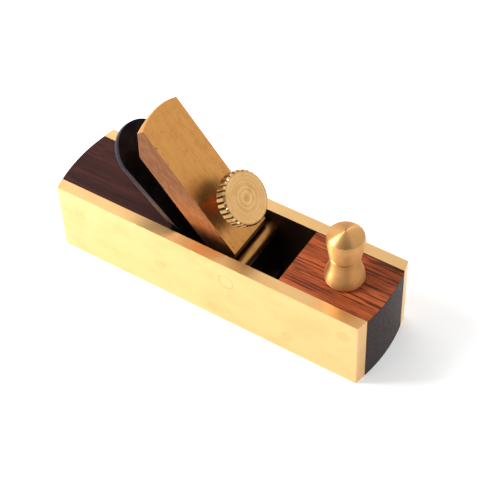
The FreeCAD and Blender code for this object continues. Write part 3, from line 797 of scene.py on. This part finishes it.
# Past the shoulder the face is painted dark as shade and dirt.
shoulder = (CAP_SHOULDER_X - CAP_SHOULDER_BEVEL) / MM
past_shoulder = cap_finish.part(on_cap, "X").between(shoulder, shoulder + SHOULDER_FADE)
cap_face = cap_finish.mix(past_shoulder, cap_face, CAP_SHOULDER_SHADE_AND_DIRT)
cap_side_reflection = cap_finish.mix(patches.between(0.40, 0.62), CAP_SIDE_REFLECTION_BROWN, CAP_SIDE_REFLECTION_RED)
cap_base = cap_finish.mix(sawn, cap_face, cap_side_reflection)
dress(cap, cap_finish.show(
    base_color=cap_finish.mix(pitted * 0.8, cap_base, CAP_STAIN),
    roughness=0.26 + brushing * 0.12 + clouds * 0.10 + sawn * 0.10,
    normal=cap_finish.bump(brushing + streaks * 0.5 - pitted * 1.5, 0.012 * MM)))
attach(cap, "cap")
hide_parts("lever_cap")


# ---- thumbscrew's shank ---------------------------------------------------------------------------
# A brass screw through the lever cap. Its round tip bears on the blade, its thread runs in the cap and
# its plain top is fixed in the head.

SCREW_AT = Matrix.Rotation(CAP_ANGLE, 3, "Y") @ Vector((-SCREW_REACH, 0, CAP_FACE)) + Vector(ROD_AT)
SCREW_RADIUS = 2.0 * MM
THREAD_PITCH = 0.7 * MM
THREAD_CORE = 1.56 * MM
THREAD_LOW = -8.2 * MM
SHANK_TIP = -10.843 * MM
SHANK_TOP = 7.1 * MM
THREAD_TURNS = 21
THREAD_STEPS = 32
THREAD_SINK = 0.04 * MM
# Half of the thread's width at its core, as a share of the pitch.
THREAD_FLANK = 0.46
THREAD_RELIEF = 0.3 * MM
THREAD_START = 0.4 * MM

tip_centre = SHANK_TIP + SCREW_RADIUS
shank_outline = [(SCREW_RADIUS * math.sin(angle), tip_centre - SCREW_RADIUS * math.cos(angle))
                 for angle in (math.radians(step) for step in range(6, 91, 12))]
shank_outline += [(SCREW_RADIUS, THREAD_LOW - THREAD_RELIEF), (THREAD_CORE, THREAD_LOW),
                  (THREAD_CORE, SHANK_TOP)]
shank = turned("thumbscrew_screw", shank_outline)

ridge = add("circle", "thread", vertices=3, radius=1.0, rotation=(math.pi / 2, 0, 0))
# The circle's three points become the thread's profile, which the SCREW modifier winds up the core.
pick(ridge, "VERT", lambda vert: True)
corners = [(THREAD_CORE - THREAD_SINK, -THREAD_FLANK * THREAD_PITCH), (SCREW_RADIUS, 0.0),
           (THREAD_CORE - THREAD_SINK, THREAD_FLANK * THREAD_PITCH)]
shape = bmesh.from_edit_mesh(ridge.data)
for vert, (radius, height) in zip(shape.verts, corners):
    vert.co = (radius, 0, height)
bmesh.update_edit_mesh(ridge.data)
apply_modifier(ridge, "SCREW", axis="Z", angle=2 * math.pi, screw_offset=THREAD_PITCH,
               iterations=THREAD_TURNS, steps=THREAD_STEPS, render_steps=THREAD_STEPS,
               use_smooth_shade=False, use_merge_vertices=False)
pick(ridge, "EDGE", lambda edge: edge.is_boundary)
bpy.ops.mesh.fill_holes(sides=4)
bpy.ops.mesh.select_all(action="SELECT")
bpy.ops.mesh.normals_make_consistent(inside=False)
put(ridge, (0, 0, THREAD_LOW + THREAD_START))
take_up(shank)
ridge.select_set(True)
bpy.ops.object.join()
put(shank, SCREW_AT, CAP_TURN)
smooth_over(shank, 30)
dress(shank, lathe_brass("screw_brass", TURNED_BRASS_DULL, ROD_DARK, SCREW_AT, CAP_TURN, 6.0))
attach(shank, "screw")
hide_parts("thumbscrew_shank")


# ---- thumbscrew's head ----------------------------------------------------------------------------
# A thick brass disc with coarse straight flutes for the fingers. Its face was turned last: it keeps the
# tool's rings, a thin raised pip at the centre and a small chamfer round the rim.

HEAD_RADIUS = 6.8
HEAD_LIFT, HEAD_THICKNESS = 4.8, 3.2
HEAD_CHAMFER = 0.45
FLUTES = 30
FLUTE_DEPTH = 0.42
FLUTE_FACETS = 4
HEAD_BORE, HEAD_BORE_DEPTH = 2.03, 2.33
RING_STEP, RING_DEPTH = 0.62, 0.035
RING_INSET, RING_MIDDLE, RING_WIDTH = 0.35, 0.10, 0.22
PIP_RADIUS = 0.42
HEAD_BRASS = (1.0, 0.63, 0.27, 1)
# Painted shade: the head's underside is dark so that it looks shaded and darkens its reflection in the cap.
HEAD_UNDERSIDE_SHADE = (0.055, 0.032, 0.020, 1)

head_top = HEAD_LIFT + HEAD_THICKNESS
inner_rim = HEAD_RADIUS - HEAD_CHAMFER
head_outline = [
    (HEAD_BORE, HEAD_LIFT + HEAD_BORE_DEPTH),
    (HEAD_BORE, HEAD_LIFT),
    (inner_rim, HEAD_LIFT),
    (HEAD_RADIUS, HEAD_LIFT + HEAD_CHAMFER),
    (HEAD_RADIUS, head_top - HEAD_CHAMFER),
    (inner_rim, head_top),
]
ring = inner_rim - RING_INSET
while ring > PIP_RADIUS + RING_STEP:
    head_outline += [(ring, head_top), (ring - RING_MIDDLE, head_top - RING_DEPTH),
                     (ring - RING_WIDTH, head_top)]
    ring -= RING_STEP
head_outline += [(PIP_RADIUS + 0.12, head_top - 0.05), (PIP_RADIUS, head_top - 0.10),
                 (PIP_RADIUS * 0.7, head_top - 0.01), (PIP_RADIUS * 0.25, head_top)]
head = turned("thumbscrew_knurled_head", [(radius * MM, height * MM) for radius, height in head_outline],
              FLUTES * FLUTE_FACETS)
facet = 2 * math.pi / (FLUTES * FLUTE_FACETS)


def in_flute(vert):
    """Whether a point is on the rim, in line with the middle of a flute."""
    step = round(math.atan2(vert.co.y, vert.co.x) / facet)
    return math.hypot(vert.co.x, vert.co.y) > (HEAD_RADIUS - 0.01) * MM and step % FLUTE_FACETS == 0


pick(head, "VERT", in_flute)
depth = (HEAD_RADIUS - FLUTE_DEPTH) / HEAD_RADIUS
bpy.ops.transform.resize(value=(depth, depth, 1), center_override=(0, 0, 0))
put(head, SCREW_AT, CAP_TURN)
smooth_over(head, 20)
# The flutes are painted dark as dirt and shade, and the underside as shade.
dress(head, lathe_brass("thumbscrew_head_brass", HEAD_BRASS, TURNED_BRASS_DULL, SCREW_AT, CAP_TURN, 7.0,
                        face_rings=0.5, under=HEAD_UNDERSIDE_SHADE,
                        groove=(HEAD_RADIUS - FLUTE_DEPTH, HEAD_RADIUS + 0.5)))
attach(head, "screw_head")
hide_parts("thumbscrew_head")
